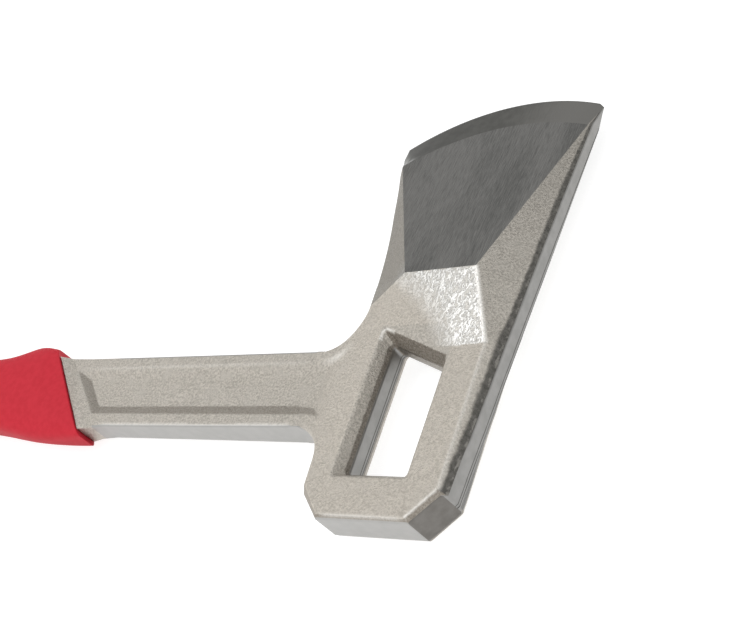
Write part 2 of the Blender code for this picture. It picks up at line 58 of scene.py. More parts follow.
def to_world(points):
    """Design coordinates to metres in the frame."""
    return (np.asarray(points, float) + SHIFT) * MM


# ---------------------------------------------------------------- camera
CAMERA_AT = (378.73, -207.48, 466.13)
CAMERA_RIGHT = Vector((0.77407, 0.31100, -0.55144))
CAMERA_UP = Vector((0.03360, 0.84962, 0.52633))
CAMERA_LENS = 84.36
SENSOR_WIDTH = 36.0

camera_data = bpy.data.cameras.new("camera")
camera_data.lens = CAMERA_LENS
camera_data.sensor_width = SENSOR_WIDTH
camera_data.clip_start = 0.01
camera_data.clip_end = 30.0
camera = bpy.data.objects.new("camera", camera_data)
bpy.context.collection.objects.link(camera)
turn = Matrix((CAMERA_RIGHT, CAMERA_UP, CAMERA_RIGHT.cross(CAMERA_UP))).transposed()
camera.matrix_world = Matrix.Translation(Vector(to_world(CAMERA_AT))) @ turn.to_4x4()
bpy.context.scene.camera = camera


# ---------------------------------------------------------------- node helpers
class Nodes:
    """Short way to write a material's node tree."""

    def __init__(self, name):
        self.material = bpy.data.materials.new(name)
        self.material.use_nodes = True
        self.tree = self.material.node_tree
        self.shader = self.tree.nodes["Principled BSDF"]
        coordinates = self.tree.nodes.new("ShaderNodeTexCoord")
        self.position = self.scaled(coordinates.outputs["Object"], (1 / MM, 1 / MM, 1 / MM))
        parts = self.new("ShaderNodeSeparateXYZ")
        self.put(parts.inputs[0], self.position)
        self.height = self.math("SUBTRACT", parts.outputs[2], float(SHIFT[2]))
        self.toeward = self.math("SUBTRACT", parts.outputs[0], float(SHIFT[0]))

    def new(self, kind, **settings):
        node = self.tree.nodes.new(kind)
        for key, value in settings.items():
            setattr(node, key, value)
        return node

    def put(self, socket, value):
        if isinstance(value, bpy.types.NodeSocket):
            self.tree.links.new(value, socket)
        else:
            socket.default_value = value

    def scaled(self, vector, scale, turn_z=0.0):
        """Stretches the pattern that reads this vector, and turns it about z."""
        node = self.new("ShaderNodeMapping")
        self.put(node.inputs["Vector"], vector)
        node.inputs["Scale"].default_value = scale
        node.inputs["Rotation"].default_value = (0.0, 0.0, turn_z)
        return node.outputs["Vector"]

    def noise(self, scale, detail=2.0, roughness=0.5, vector=None, distortion=0.0):
        node = self.new("ShaderNodeTexNoise")
        self.put(node.inputs["Vector"], vector or self.position)
        node.inputs["Scale"].default_value = scale
        node.inputs["Detail"].default_value = detail
        node.inputs["Roughness"].default_value = roughness
        node.inputs["Distortion"].default_value = distortion
        return node.outputs["Fac"]

    def math(self, operation, a, b=0.0, c=0.0):
        node = self.new("ShaderNodeMath", operation=operation)
        for socket, value in zip(node.inputs, (a, b, c)):
            self.put(socket, value)
        return node.outputs[0]

    def ramp(self, value, low, high, out_low=0.0, out_high=1.0):
        """Smooth step from out_low at low to out_high at high."""
        node = self.new("ShaderNodeMapRange")
        node.interpolation_type = "SMOOTHSTEP"
        for key, number in zip(("Value", "From Min", "From Max", "To Min", "To Max"),
                               (value, low, high, out_low, out_high)):
            self.put(node.inputs[key], number)
        return node.outputs[0]

    def line(self, value, centre, half_width):
        """1 on a thin line where the value is at the centre, 0 away from it."""
        away = self.math("ABSOLUTE", self.math("SUBTRACT", value, centre))
        return self.ramp(away, half_width, 0.5 * half_width)

    def mix(self, factor, a, b):
        """Mixes two numbers."""
        node = self.new("ShaderNodeMix", data_type="FLOAT")
        for socket, value in zip((node.inputs[0], node.inputs[2], node.inputs[3]), (factor, a, b)):
            self.put(socket, value)
        return node.outputs[0]

    def blend(self, factor, a, b):
        """Mixes two colours."""
        node = self.new("ShaderNodeMix", data_type="RGBA")
        for socket, value in zip((node.inputs[0], node.inputs[6], node.inputs[7]), (factor, a, b)):
            self.put(socket, (*value, 1.0) if isinstance(value, tuple) else value)
        return node.outputs[2]

    def zone(self, name):
        """Weight of a finish that the mesh carries."""
        return self.new("ShaderNodeAttribute", attribute_name=name).outputs["Fac"]

    def bump(self, height, strength, distance, below=None):
        node = self.new("ShaderNodeBump")
        self.put(node.inputs["Height"], height)
        self.put(node.inputs["Strength"], strength)
        node.inputs["Distance"].default_value = distance
        if below is not None:
            self.put(node.inputs["Normal"], below)
        return node.outputs["Normal"]

    def finish(self, **values):
        """Sets the shader's inputs, with underscores for spaces in their names."""
        for key, value in values.items():
            socket = self.shader.inputs[key.replace("_", " ")]
            self.put(socket, (*value, 1.0) if isinstance(value, tuple) else value)
        return self.material


# ---------------------------------------------------------------- forging: surface from the CAD solid
GRID = 0.25                  # spacing of the height field
COLLAR_TOP = np.array([-251.1, 77.3])           # ends of the line where the neck enters the grip
COLLAR_LOW = np.array([-217.4, 38.4])
COLLAR_SLOPE = (COLLAR_LOW[0] - COLLAR_TOP[0]) / (COLLAR_LOW[1] - COLLAR_TOP[1])
# blade: corners of the ground bevel, the crease below its shoulder, and the ends of the cutting edge
BEVEL_TOE = np.array([8.9, 184.8])
BEVEL_HEEL = np.array([-81.7, 172.4])
SHOULDER_TOE = np.array([-15.8, 111.3])
SHOULDER_HEEL = np.array([-50.9, 109.6])
SHOULDER_CREASE = np.array([SHOULDER_HEEL, (-36.0, 99.3), (-26.8, 90.5), (-20.2, 81.5), (-16.8, 75.4)])
BEVEL_ARC_RISE = 10.3
BEVEL_SPOTS = np.array([(-20.0, 150.0), (-50.0, 150.0), (-30.0, 125.0)])     # fix the bevel's plane
TOE = np.array([TOE_X, 195.0])
HEEL_NOSE = np.array([-85.7, 178.8])
EDGE_HALF = 0.15             # half thickness of the cutting edge
EDGE_FROM_Y = 174.0          # the wall above this belongs to the edge bevel
RULED_FROM = -20.0           # the edge bevel is wholly a ruled surface to the left of this
NOSE_X, NOSE_LOW_Y = -80.0, 171.5               # the heel's nose lies left of and above these
NOSE_Y = (173.4, 178.8)      # its lower and upper end, and the half thickness there
NOSE_HALF = (1.15, EDGE_HALF)
# head
CHEEK_CORNER = np.array([-1.1, 76.6])
WINDOW_X = (-54.5, -16.5)    # box round the window in the head
WINDOW_Y = (17.0, 85.5)
WINDOW_SLANT = 0.374         # fall of the window's upper edge
WINDOW_TOP = 64.84           # its place: y + slant * x
WINDOW_DRAFT = 3.7
POLL_LEFT = np.array([-55.1, 1.0])              # corners of the poll's flat and of its chamfers
POLL_RIGHT = np.array([-11.9, 1.0])
CHAMFER_LEFT = np.array([-66.0, 13.4])
CHAMFER_RIGHT = np.array([-1.1, 13.4])
RUN_OUT = np.array([(-69.3, 43.2), (-69.6, 74.3)])      # where the neck's slope meets the cheek
# rounding of the creases
BLURS = (0.0, 0.18, 0.35, 0.7, 1.4, 2.8)        # widths that are worked out
CREASE_WIDTH = 0.45          # width of rounding on a plain crease
RUN_OUT_WIDTH, RUN_OUT_REACH = 0.5, 4.0         # added beside the run-out
SHOULDER_WIDTH, SHOULDER_REACH = 2.6, 5.0       # beside the soft crease of the shoulder
GROUND_WIDTH, GROUND_MARGIN = 0.18, 0.6         # at the ground bevel's sharp border
EDGE_SHARE = 2.5             # distance to the outline over the widest rounding there
# mesh
OUTLINE_STEP = 1.2           # longest side of the outline and of the crease lines
CREASE_STEP = 0.75
CREASE_CLEAR = 0.3           # no sample points nearer than this to a crease line
ARC_ROWS = (0, 30, 60, 90)   # degrees round the outline's rounded edge
NECK_ROUND, HEAD_ROUND = 0.8, 0.35              # radius of that edge
NECK_END_X = -88.0           # the neck lies to the left of this
FLASH_REACH = 2.6            # width of the uneven strip where the flash was trimmed
FLASH_X, FLASH_Y = -4.5, (13.0, 187.0)          # the strip on the back lies beyond x, between these
FLASH_TOP, WINDOW_FLASH_TOP = 7.0, 6.5
WAVE_RISE, WAVE_SIZE = 0.07, 7.0                # unevenness of the forged skin
DIMPLE_RISE, DIMPLE_SIZE = 0.02, 2.6
TEAR_RISE, TEAR_SIZE = 0.16, 0.9                # and of the trimmed strip
FAR = 1e9                    # more than any distance


def solid_triangles(node):
    """Welded points in design coordinates and triangles of a CAD node."""
    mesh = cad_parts[node].data
    mesh.calc_loop_triangles()
    points = np.empty(len(mesh.vertices) * 3)
    mesh.vertices.foreach_get("co", points)
    triangles = np.empty(len(mesh.loop_triangles) * 3, dtype=np.int64)
    mesh.loop_triangles.foreach_get("vertices", triangles)
    points = points.reshape(-1, 3) / MM - SHIFT
    _, first, weld = np.unique(np.round(points, 3), axis=0, return_index=True, return_inverse=True)
    return points[first], weld.reshape(-1)[triangles].reshape(-1, 3)


def upper_faces(points, triangles):
    """Triangles of the upper side of head and neck, without walls and tang."""
    corners = points[triangles]
    normal = np.cross(corners[:, 1] - corners[:, 0], corners[:, 2] - corners[:, 0])
    length = np.linalg.norm(normal, axis=1)
    keep = length > 1e-9
    normal[keep] /= length[keep, None]
    middle = corners.mean(axis=1)
    collar = COLLAR_TOP[0] + (middle[:, 1] - COLLAR_TOP[1]) * COLLAR_SLOPE
    upward = normal[:, 2] > 0.02
    return triangles[keep & upward & (middle[:, 2] > 0) & (middle[:, 0] > collar)]


def boundary_loops(triangles):
    """Closed loops of vertex ids round a set of triangles."""
    directed = {(a, b) for t in triangles.tolist() for a, b in zip(t, t[1:] + t[:1])}
    follow = {a: b for a, b in directed if (b, a) not in directed}
    loops = []
    while follow:
        start, here = follow.popitem()
        loop = [start]
        while here != start:
            loop.append(here)
            here = follow.pop(here)
        loops.append(loop)
    return sorted(loops, key=len, reverse=True)


def rasterise(points, triangles, shape):
    """Heights of the triangles on the grid; NaN outside them."""
    field = np.full(shape, np.nan)
    for a, b, c in points[triangles]:
        low = np.floor((np.minimum(np.minimum(a, b), c)[:2] - ORIGIN) / GRID).astype(int)
        high = np.ceil((np.maximum(np.maximum(a, b), c)[:2] - ORIGIN) / GRID).astype(int) + 1
        xs = ORIGIN[0] + GRID * np.arange(low[0], high[0])[:, None]
        ys = ORIGIN[1] + GRID * np.arange(low[1], high[1])[None, :]
        area = (b[0] - a[0]) * (c[1] - a[1]) - (c[0] - a[0]) * (b[1] - a[1])
        if abs(area) < 1e-9:
            continue
        u = ((xs - a[0]) * (c[1] - a[1]) - (c[0] - a[0]) * (ys - a[1])) / area
        v = ((b[0] - a[0]) * (ys - a[1]) - (xs - a[0]) * (b[1] - a[1])) / area
        here = (u >= -1e-6) & (v >= -1e-6) & (u + v <= 1 + 1e-6)
        height = a[2] + u * (b[2] - a[2]) + v * (c[2] - a[2])
        part = field[low[0]:high[0], low[1]:high[1]]
        part[here] = height[here]
    return field


def blurred(field, mask, width):
    """Gaussian blur that ignores what lies outside the mask."""
    if width == 0.0:
        return field
    reach = int(math.ceil(3 * width / GRID))
    weights = np.exp(-0.5 * (np.arange(-reach, reach + 1) * GRID / width) ** 2)
    out = []
    for data in (np.where(mask, field, 0.0), mask.astype(float)):
        for axis in (0, 1):
            pads = [(0, 0), (0, 0)]
            pads[axis] = (reach, reach)
            wide = np.pad(data, pads)
            size = data.shape[axis]
            data = sum(w * np.take(wide, range(k, k + size), axis=axis) for k, w in enumerate(weights))
        out.append(data)
    return out[0] / np.maximum(out[1], 1e-9)


def edge_distance(mask, steps=14):
    """Distance in millimetres to the mask's edge, up to a limit."""
    distance = np.zeros(mask.shape)
    inside = mask.copy()
    for step in range(steps):
        shrunk = inside.copy()
        shrunk[1:] &= inside[:-1]
        shrunk[:-1] &= inside[1:]
        shrunk[:, 1:] &= inside[:, :-1]
        shrunk[:, :-1] &= inside[:, 1:]
        if step % 2:
            shrunk[1:, 1:] &= inside[:-1, :-1]
            shrunk[:-1, :-1] &= inside[1:, 1:]
            shrunk[1:, :-1] &= inside[:-1, 1:]
            shrunk[:-1, 1:] &= inside[1:, :-1]
        inside = shrunk
        distance += inside * GRID
    return distance


def segment_distance(x, y, a, b):
    """Distance to the segment from a to b, and the share of it that lies before the nearest point."""
    step = b - a
    t = np.clip(((x - a[0]) * step[0] + (y - a[1]) * step[1]) / (step @ step), 0, 1)
    return np.hypot(x - a[0] - t * step[0], y - a[1] - t * step[1]), t


def line_distance(x, y, line):
    """Distance to a polyline."""
    best = np.full(np.broadcast(x, y).shape, FAR)
    for a, b in zip(line, line[1:]):
        best = np.minimum(best, segment_distance(x, y, a, b)[0])
    return best


def closed_distance(x, y, loop):
    """Distance to a closed loop of the CAD solid's points."""
    return line_distance(x, y, points[loop + loop[:1], :2])


def nearest_on(x, y, line):
    """Distance to a polyline, and the nearest point on it."""
    best = np.full(np.broadcast(x, y).shape, FAR)
    near_x, near_y = np.zeros(best.shape), np.zeros(best.shape)
    for a, b in zip(line, line[1:]):
        gap, t = segment_distance(x, y, a, b)
        closer = gap < best
        best = np.where(closer, gap, best)
        near_x = np.where(closer, a[0] + t * (b[0] - a[0]), near_x)
        near_y = np.where(closer, a[1] + t * (b[1] - a[1]), near_y)
    return best, near_x, near_y


def bevel_arc():
    """Border between the ground bevel and the edge bevel, from toe to heel."""
    chord = BEVEL_HEEL - BEVEL_TOE
    side = np.array([chord[1], -chord[0]]) / np.linalg.norm(chord)
    t = np.linspace(0, 1, 21)[:, None]
    return BEVEL_TOE + chord * t + side * BEVEL_ARC_RISE * 4 * t * (1 - t)


def in_polygon(x, y, polygon):
    """True where a point lies inside the polygon."""
    hit = np.zeros(x.shape, bool)
    for (x0, y0), (x1, y1) in zip(np.roll(polygon, 1, axis=0), polygon):
        if y0 != y1:
            crosses = (y0 > y) != (y1 > y)
            hit ^= crosses & (x < x0 + (y - y0) * (x1 - x0) / (y1 - y0))
    return hit


def resample(loop, spacing):
    """Adds points to a closed loop so that no side is longer than the spacing."""
    points = []
    for a, b in zip(loop, np.roll(loop, -1, axis=0)):
        count = max(1, int(math.ceil(np.linalg.norm(b - a) / spacing)))
        points += [a + (b - a) * k / count for k in range(count)]
    return np.array(points)


def inward(loop):
    """Unit vector into the material at each point of a loop that keeps it on the left."""
    before = loop[:, :2] - np.roll(loop, 1, axis=0)[:, :2]
    after = np.roll(loop, -1, axis=0)[:, :2] - loop[:, :2]
    before /= np.linalg.norm(before, axis=1)[:, None]
    after /= np.linalg.norm(after, axis=1)[:, None]
    normal = np.stack([-before[:, 1] - after[:, 1], before[:, 0] + after[:, 0]], axis=1)
    normal /= np.maximum(np.linalg.norm(normal, axis=1), 0.3)[:, None]
    return normal


def sample(field, x, y):
    """Bilinear sample of a grid."""
    u = np.clip((x - ORIGIN[0]) / GRID, 0, field.shape[0] - 1.001)
    v = np.clip((y - ORIGIN[1]) / GRID, 0, field.shape[1] - 1.001)
    i, j = u.astype(int), v.astype(int)
    u, v = u - i, v - j
    return ((1 - u) * (1 - v) * field[i, j] + u * (1 - v) * field[i + 1, j]
            + (1 - u) * v * field[i, j + 1] + u * v * field[i + 1, j + 1])


points, triangles = solid_triangles("axe_forging")
upper = upper_faces(points, triangles)
used = points[np.unique(upper)]
LOOPS = [loop for loop in boundary_loops(upper) if len(loop) > 12][:2]      # outline and window
ORIGIN = np.floor(used.min(axis=0)[:2]) - 1.0
SHAPE = tuple((np.ceil((used.max(axis=0)[:2] - ORIGIN) / GRID) + 5).astype(int))
sharp = rasterise(points, upper, SHAPE)
mask = ~np.isnan(sharp)
GX = ORIGIN[0] + GRID * np.arange(SHAPE[0])[:, None]
GY = ORIGIN[1] + GRID * np.arange(SHAPE[1])[None, :]
WIDE_X, WIDE_Y = np.broadcast_arrays(GX, GY)

BEVEL_LOOP = np.vstack([bevel_arc(), SHOULDER_HEEL, SHOULDER_TOE, BEVEL_TOE])
EDGE_LOOP = np.vstack([bevel_arc(), HEEL_NOSE, (-90.0, 192.0), (-60.0, 206.0), (0.0, 206.0),
                       (14.0, 200.0), TOE])
SHINE_LOOP = np.vstack([SHOULDER_CREASE, CHEEK_CORNER, SHOULDER_TOE])
TOE_FACET = np.array([CHEEK_CORNER, (8.0, CHEEK_CORNER[1]), (14.0, 190.0), TOE, BEVEL_TOE,
                      SHOULDER_TOE])
BACK_LOOP = np.vstack([CHAMFER_RIGHT, (6.0, 12.0), TOE_FACET[1:], CHEEK_CORNER])
HEEL_FACET = np.array([SHOULDER_HEEL, BEVEL_HEEL, (-100.0, 172.4), (-80.0, 96.1), (-64.9, 96.1)])
# lines along which the mesh has edges, so that creases and finishes end cleanly
GROUND_LINES = [bevel_arc(), np.array([BEVEL_TOE, BEVEL_TOE + 0.94 * (TOE - BEVEL_TOE)]),
                np.array([BEVEL_HEEL, BEVEL_HEEL + 0.9 * (HEEL_NOSE - BEVEL_HEEL)]),
                np.array([BEVEL_TOE, SHOULDER_TOE]), np.array([BEVEL_HEEL, SHOULDER_HEEL]),
                np.array([SHOULDER_TOE, SHOULDER_HEEL])]
SHINE_BORDER = np.array([SHOULDER_TOE, CHEEK_CORNER, SHOULDER_CREASE[-1]])
BACK_BORDER = np.array([CHAMFER_LEFT, POLL_LEFT, POLL_RIGHT, CHAMFER_RIGHT, CHEEK_CORNER - (0.0, 0.5)])
CREASE_LINES = GROUND_LINES + [SHINE_BORDER, BACK_BORDER]


def smoothing_width(edge):
    """How far the forging's creases are rounded at each place."""
    width = np.full(SHAPE, CREASE_WIDTH)
    width += RUN_OUT_WIDTH * np.exp(-0.5 * (line_distance(GX, GY, RUN_OUT) / RUN_OUT_REACH) ** 2)
    crease = line_distance(GX, GY, SHOULDER_CREASE[1:-1])
    width = np.maximum(width, SHOULDER_WIDTH * np.exp(-0.5 * (crease / SHOULDER_REACH) ** 2))
    ground = line_distance(GX, GY, BEVEL_LOOP)
    width = np.minimum(width, GROUND_WIDTH + 0.25 * np.maximum(ground - GROUND_MARGIN, 0))
    return np.minimum(width, edge / EDGE_SHARE)


def smooth_edge_bevel():
    """Edge bevel as one ruled surface from the ground bevel's arc to the cutting edge."""
    heights = sample(sharp, BEVEL_SPOTS[:, 0], BEVEL_SPOTS[:, 1])
    plane = np.linalg.solve(np.column_stack([BEVEL_SPOTS, np.ones(3)]), heights)
    along, near_x, near_y = nearest_on(GX, GY, bevel_arc())
    to_edge = closed_distance(GX, GY, LOOPS[0])
    inner = plane[0] * near_x + plane[1] * near_y + plane[2]
    outer = np.where(GX < NOSE_X, np.interp(GY, NOSE_Y, NOSE_HALF), EDGE_HALF)
    ruled = outer + (inner - outer) * to_edge / np.maximum(to_edge + along, 1e-6)
    corner = (GX < BEVEL_HEEL[0]) & (GY > NOSE_LOW_Y)
    here = mask & (in_polygon(WIDE_X, WIDE_Y, EDGE_LOOP) | corner)
    share = np.clip(WIDE_X / RULED_FROM, 0.0, 1.0)
    sharp[here] = (sharp * (1 - share) + ruled * share)[here]


def rounded(field, width):
    """The heights with their creases rounded by the width at each place."""
    levels = [blurred(field, mask, w) for w in BLURS]
    out = np.where(mask, field, 0.0)
    for low_width, high_width, low_level, high_level in zip(BLURS, BLURS[1:], levels, levels[1:]):
        share = (width - low_width) / (high_width - low_width)
        here = mask & (share > 0)
        share = np.clip(share, 0, 1)
        out[here] = (low_level * (1 - share) + high_level * share)[here]
    return out


def filled_outward(field, mask, steps=6):
    """Copies edge values outwards, so that samples at the edge are whole."""
    field, known = field.copy(), mask.copy()
    for _ in range(steps):
        total = np.zeros(field.shape)
        count = np.zeros(field.shape)
        for axis, shift in ((0, 1), (0, -1), (1, 1), (1, -1)):
            total += np.roll(np.where(known, field, 0), shift, axis)
            count += np.roll(known, shift, axis)
        new = ~known & (count > 0)
        field[new] = total[new] / count[new]
        known |= new
    return field


smooth_edge_bevel()
distance = edge_distance(mask)
height = filled_outward(rounded(sharp, smoothing_width(distance)), mask)
OUTWARD = filled_outward(distance, mask)     # distance to the outline, also just past it


def interior_points():
    """Sample points, close together where the surface bends."""
    dx = np.gradient(height, GRID, axis=0)
    dy = np.gradient(height, GRID, axis=1)
    bend = (np.abs(np.gradient(dx, GRID, axis=0)) + np.abs(np.gradient(dy, GRID, axis=1))
            + 2 * np.abs(np.gradient(dx, GRID, axis=1)))
    bend[~mask | (distance < 2 * GRID)] = 0
    for _ in range(3):
        for axis in (0, 1):
            bend = np.maximum(bend, np.maximum(np.roll(bend, 1, axis), np.roll(bend, -1, axis)))
    step = np.full(SHAPE, 6)
    step[bend > 0.03] = 3
    step[(bend > 0.25) | in_flash(WIDE_X, WIDE_Y, height)] = 2
    index_x = np.arange(SHAPE[0])[:, None]
    index_y = np.arange(SHAPE[1])[None, :]
    keep = (index_x % step == 0) & (index_y % step == 0) & (distance > 2 * GRID)
    i, j = np.nonzero(keep)
    x, y = ORIGIN[0] + GRID * i, ORIGIN[1] + GRID * j
    clear = np.ones(len(x), bool)
    for line in CREASE_LINES:
        clear &= line_distance(x, y, line) > CREASE_CLEAR
    return np.stack([x, y], axis=1)[clear]


def stepped(line, spacing):
    """Points along an open line, no further apart than the spacing."""
    points = [line[0]]
    for a, b in zip(line, line[1:]):
        count = max(1, int(math.ceil(np.linalg.norm(b - a) / spacing)))
        points += [a + (b - a) * k / count for k in range(1, count + 1)]
    return points


def in_window(x, y):
    """True in the box round the head's window."""
    return (x > WINDOW_X[0]) & (x < WINDOW_X[1]) & (y > WINDOW_Y[0]) & (y < WINDOW_Y[1])


def in_flash(x, y, z):
    """True in the strip beside the band where the forging's flash was trimmed."""
    near = sample(OUTWARD, x, y) < FLASH_REACH
    back = (x > FLASH_X) & (y > FLASH_Y[0]) & (y < FLASH_Y[1]) & (z < FLASH_TOP)
    return near & (back | (in_window(x, y) & (z < WINDOW_FLASH_TOP)))


def rounding(loop):
    """Radius of the trimmed edge at each point of the outline."""
    radius = np.where(loop[:, 0] < NECK_END_X, NECK_ROUND, HEAD_ROUND)
    return np.minimum(radius, 0.6 * loop[:, 2])


def build_forging():
    """Vertices and faces of the forging, and the number of faces before its walls."""
    rings, constraints, flat = [], [], []
    for loop in LOOPS:
        loop = resample(points[loop], OUTLINE_STEP)
        radius = rounding(loop)
        normal = inward(loop)
        inner = loop[:, :2] + normal * radius[:, None]
        top = sample(height, inner[:, 0], inner[:, 1])
        start = len(flat)
        flat += inner.tolist()
        count = len(loop)
        constraints += [(start + k, start + (k + 1) % count) for k in range(count)]
        rows = []
        for degrees in ARC_ROWS:
            angle = math.radians(degrees)
            place = loop[:, :2] + normal * (radius * (1 - math.sin(angle)))[:, None]
            crown = top + (loop[:, 2] - top) * math.sin(angle)
            rows.append(np.column_stack([place, crown - radius * (1 - math.cos(angle))]))
        wall = rows[-1].copy()
        wall[:, 2] = np.maximum(wall[:, 2] - 0.6, 0.4 * wall[:, 2])
        rows.append(wall)
        rings.append((start, count, rows))
    for line in CREASE_LINES:
        line = stepped(line, CREASE_STEP)
        constraints += [(len(flat) + k, len(flat) + k + 1) for k in range(len(line) - 1)]
        flat += [point.tolist() for point in line]
    flat += interior_points().tolist()
    result = delaunay_2d_cdt([Vector(p) for p in flat], constraints, [], 0, 1e-7)
    placed = np.zeros(len(flat), int)
    for index, sources in enumerate(result[3]):
        placed[sources] = index
    flat = np.array(result[0])
    cells = np.array(result[2])
    middle = flat[cells].mean(axis=1)
    outer, hole = (flat[placed[start:start + count]] for start, count, _ in rings)
    keep = in_polygon(middle[:, 0], middle[:, 1], outer) & ~in_polygon(middle[:, 0], middle[:, 1], hole)
    cells = cells[keep]
    z = sample(height, flat[:, 0], flat[:, 1]) + unevenness(flat)
    side = np.column_stack([flat, z])
    vertices = [side, side * (1, 1, -1)]
    total = len(side)
    faces = cells.tolist() + [[c + total, b + total, a + total] for a, b, c in cells.tolist()]
    at = 2 * total
    for start, count, rows in rings:
        order = [placed[start:start + count]]
        for row in rows[1:]:
            vertices.append(row)
            order.append(np.arange(at, at + count))
            at += count
        for row in rows[:0:-1]:
            vertices.append(row * (1, 1, -1))
            order.append(np.arange(at, at + count))
            at += count
        order.append(order[0] + total)
        for top_row, low_row in zip(order, order[1:]):
            ahead = np.roll(top_row, -1), np.roll(low_row, -1)
            faces += np.column_stack([top_row, low_row, ahead[1], ahead[0]]).tolist()
    return np.vstack(vertices), faces, 2 * len(cells)


def ripples(flat, size, layer):
    """Smooth noise from -1 to 1 over the plane, with bumps of about the given size."""
    return np.array([noise.noise(Vector((x / size, y / size, layer))) for x, y in flat])


def unevenness(flat):
    """Small rises and dips that the hammer dies leave, none on ground faces or at the outline."""
    x, y = flat[:, 0], flat[:, 1]
    ground = in_polygon(x, y, BEVEL_LOOP) | in_polygon(x, y, EDGE_LOOP)
    for line in GROUND_LINES:
        ground |= line_distance(x, y, line) < 0.4
    inner = np.clip((sample(OUTWARD, x, y) - 0.4) / 1.2, 0.0, 1.0)
    flash = in_flash(x, y, sample(height, x, y))
    rise = WAVE_RISE * ripples(flat, WAVE_SIZE, 0.0) + DIMPLE_RISE * ripples(flat, DIMPLE_SIZE, 5.0)
    rise += np.where(flash, TEAR_RISE * ripples(flat * (1.0, 0.4), TEAR_SIZE, 9.0), 0.0)
    return np.where(ground, 0.0, rise * inner)


vertices, faces, first_wall = build_forging()


def smooth_step(value, low, high):
    """Rises smoothly from 0 at low to 1 at high."""
    t = np.clip((value - low) / (high - low), 0.0, 1.0)
    return t * t * (3 - 2 * t)


def side_of(x, y, a, b):
    """Positive to the left of the line from a to b."""
    return (b[0] - a[0]) * (y - a[1]) - (b[1] - a[1]) * (x - a[0])


HEEL_END = (-70.0, 170.5)    # the heel's nose lies left of and above this
TOE_WALL_X = 8.0             # the wall beyond this belongs to the back, not to the edge
CHAMFER_Y = (0.4, 12.2)
BAND_X, WINDOW_BAND_X = -2.5, -40.0             # the back's band lies beyond, the window's before
FLARE_X = -209.0             # where the neck flares out to the collar
# painted shade on the toe's facet, deeper towards the cutting edge, and on the heel's facet
TOE_SHADE, TOE_SHADE_RISE, TOE_SHADE_Y = 0.12, 0.26, (75.0, 180.0)
HEEL_SHADE = 0.58
POLL_SOOT = 0.8
WINDOW_SHADE_MARGINS = (1.0, 0.6, 0.5)                  # margins of the painted shade on the window's upper wall: below its draft, at its left and its right
STRIP_WIDTH = ((20.0, 76.0, 150.0, 184.0, 195.0), (1.8, 2.8, 2.9, 1.9, 0.5))     # y, width
WINDOW_STRIP = 1.35
WIDEST_STRIP = 3.0
SHEEN_SHARE = 0.7          # of the painted sheen at the shoulder's crease
SHEEN_RISE, SHEEN_FADE = 4.0, 9.0           # distances to its full and to its end
NECK_X, NECK_Y = -68.0, (42.0, 75.0)
# strength of the scale and painted shade in the recess
NECK_SCALE_AND_SHADE = 0.48
HEAD_FROM, HEAD_FULL = -85.0, -60.0             # the head's paler skin, along x
FLECKS_Y = (125.0, 90.0)     # the strip has flecks below these
HIGHLIGHT_LINES = (               # painted highlight lines: line, half width, strength, length over which the ends fade
    (np.array([SHOULDER_TOE, CHEEK_CORNER]), 1.4, 1.0, 0.1),
    (np.array([POLL_RIGHT, CHAMFER_RIGHT]) + (-0.15, 0.15), 0.6, 1.0, 0.1),
    (np.array([POLL_LEFT + (1.0, 0.0), POLL_RIGHT]), 0.7, 0.5, 4.0),
    (np.array([CHAMFER_RIGHT, CHEEK_CORNER]), 0.9, 0.35, 0.1),
    # window's upper corner, run-out of the neck, neck's lower edge, upper edge of the recess
    (np.array([(-53.9, 79.0), (-53.6, 83.0), (-52.0, 84.2), (-47.5, 82.6)]), 0.8, 1.0, 0.1),
    (np.array([(-84.0, 70.6), (-77.5, 71.2), (-72.5, 73.2), (-66.5, 78.0)]), 2.4, 0.6, 9.0),
    (np.array([(-208.0, 41.1), (-83.0, 41.1)]), 0.7, 0.5, 9.0),
    (np.array([(-234.0, 70.4), (-84.0, 70.9)]), 1.2, 0.22, 22.0),
)
SLOPE_X = np.gradient(height, GRID, axis=0)
SLOPE_Y = np.gradient(height, GRID, axis=1)


